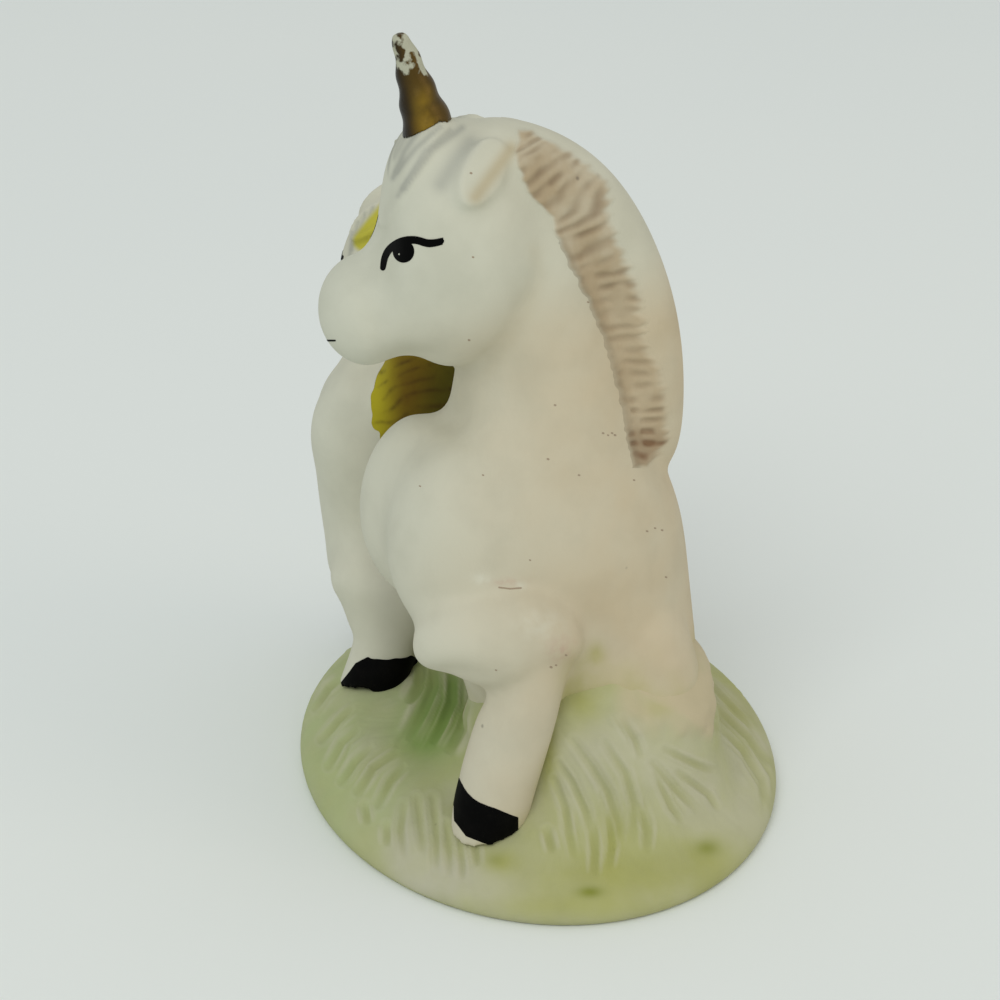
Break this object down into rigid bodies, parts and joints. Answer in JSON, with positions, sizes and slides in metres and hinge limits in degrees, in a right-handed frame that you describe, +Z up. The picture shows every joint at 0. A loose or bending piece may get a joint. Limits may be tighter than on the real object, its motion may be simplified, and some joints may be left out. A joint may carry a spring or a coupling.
{
  "type": "unicorn figurine",
  "caption": "Matte white bisque figurine of a larger and a smaller unicorn sitting close together on an oval pale green grass mound, with gold horns and black hooves.",
  "frame": {"origin": "centre of the oval base on the surface it stands on", "axes": "+Z up; +X along the base's long axis, towards the larger animal's side; -Y the side both animals face"},
  "size_m": [0.0846, 0.0632, 0.1033],
  "materials": {
    "green_bisque": "matte unglazed bisque with a pale green airbrushed wash lying in the carved grass",
    "white_bisque": "matte unglazed white bisque, faintly beige in the hollows",
    "gold_lustre": "dark worn gold lustre over bisque, flaked to white near the tip",
    "brown_washed_bisque": "matte white bisque with a thin brown wash lying in the hair strokes",
    "yellow_washed_bisque": "matte bisque with a mustard yellow airbrushed wash",
    "black_enamel": "hand-brushed black enamel, slightly satin"
  },
  "bodies": {
    "root": {"grass_base": "green_bisque", "large_torso": "white_bisque", "large_neck": "white_bisque", "large_head": "white_bisque", "large_forelock": "white_bisque", "large_horn": "gold_lustre", "large_left_ear": "white_bisque", "large_right_ear": "white_bisque", "large_mane": "brown_washed_bisque", "large_left_foreleg": "white_bisque", "large_left_fore_hoof": "black_enamel", "large_left_haunch": "white_bisque", "large_right_foreleg": "white_bisque", "large_right_fore_hoof": "black_enamel", "large_right_haunch": "white_bisque", "large_tail": "brown_washed_bisque", "small_torso": "white_bisque", "small_neck": "white_bisque", "small_head": "white_bisque", "small_forelock": "white_bisque", "small_horn": "gold_lustre", "small_left_ear": "white_bisque", "small_right_ear": "white_bisque", "small_mane": "yellow_washed_bisque", "small_left_foreleg": "white_bisque", "small_left_fore_hoof": "black_enamel", "small_left_haunch": "white_bisque", "small_right_foreleg": "white_bisque", "small_right_fore_hoof": "black_enamel", "small_right_haunch": "white_bisque", "small_tail": "yellow_washed_bisque"}
  },
  "joints": []
}
